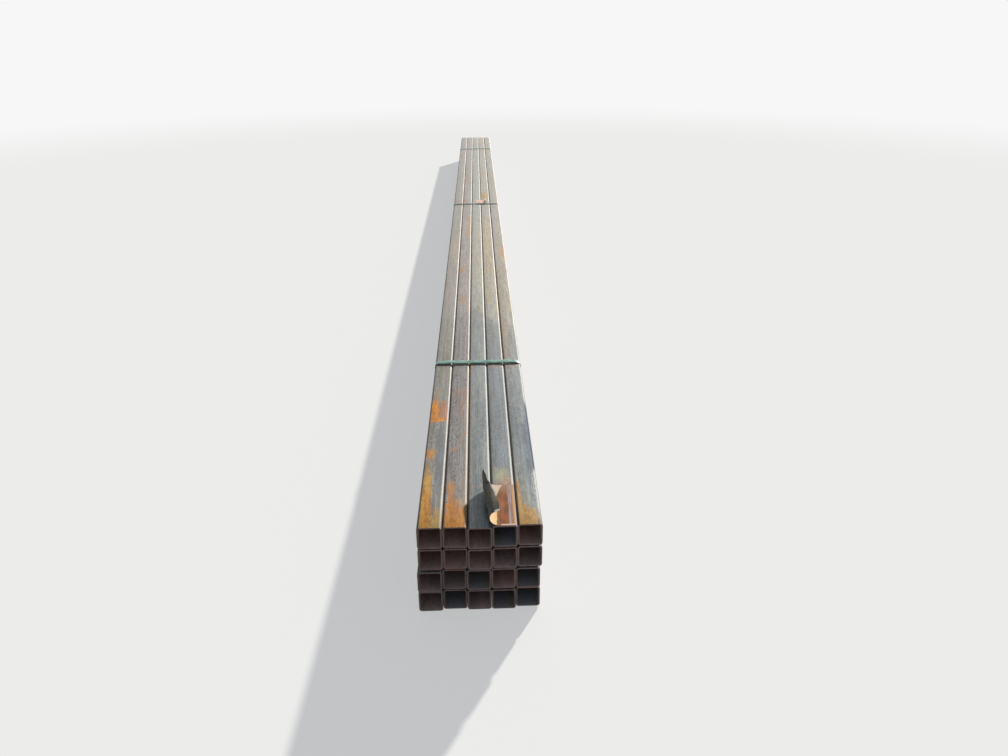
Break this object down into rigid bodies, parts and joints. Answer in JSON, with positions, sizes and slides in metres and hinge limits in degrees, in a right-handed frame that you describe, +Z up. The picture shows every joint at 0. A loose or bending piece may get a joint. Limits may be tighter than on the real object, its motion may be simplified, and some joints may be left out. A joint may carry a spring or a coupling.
{
  "type": "bundle of steel tubes",
  "caption": "Bundle of square steel tubes stacked in layers and held by flat steel straps, with a curled paper label at one end.",
  "frame": {"origin": "bottom centre of the bundle's box, on the surface that its straps rest on", "axes": "+X to the right across the bundle, +Y along the tubes away from the end with the label, +Z up"},
  "size_m": [0.2644, 6.104, 0.2686],
  "materials": {
    "tube_steel": "matte mill scale with patches of rust",
    "strap_steel": "satin green paint, scuffed",
    "seal_steel": "satin",
    "label_paper": "matte, rust stained",
    "tag_paper": "matte, faded"
  },
  "bodies": {
    "root": {"tube_bottom_1": "tube_steel", "tube_bottom_2": "tube_steel", "tube_bottom_3": "tube_steel", "tube_bottom_4": "tube_steel", "tube_bottom_5": "tube_steel", "tube_lower_1": "tube_steel", "tube_lower_2": "tube_steel", "tube_lower_3": "tube_steel", "tube_lower_4": "tube_steel", "tube_lower_5": "tube_steel", "tube_upper_1": "tube_steel", "tube_upper_2": "tube_steel", "tube_upper_3": "tube_steel", "tube_upper_4": "tube_steel", "tube_upper_5": "tube_steel", "tube_top_1": "tube_steel", "tube_top_2": "tube_steel", "tube_top_3": "tube_steel", "tube_top_4": "tube_steel", "tube_top_5": "tube_steel", "strap_front": "strap_steel", "seal_front": "seal_steel", "strap_middle": "strap_steel", "seal_middle": "seal_steel", "strap_rear": "strap_steel", "seal_rear": "seal_steel", "paper_label": "label_paper", "paper_tag": "tag_paper"}
  },
  "joints": []
}
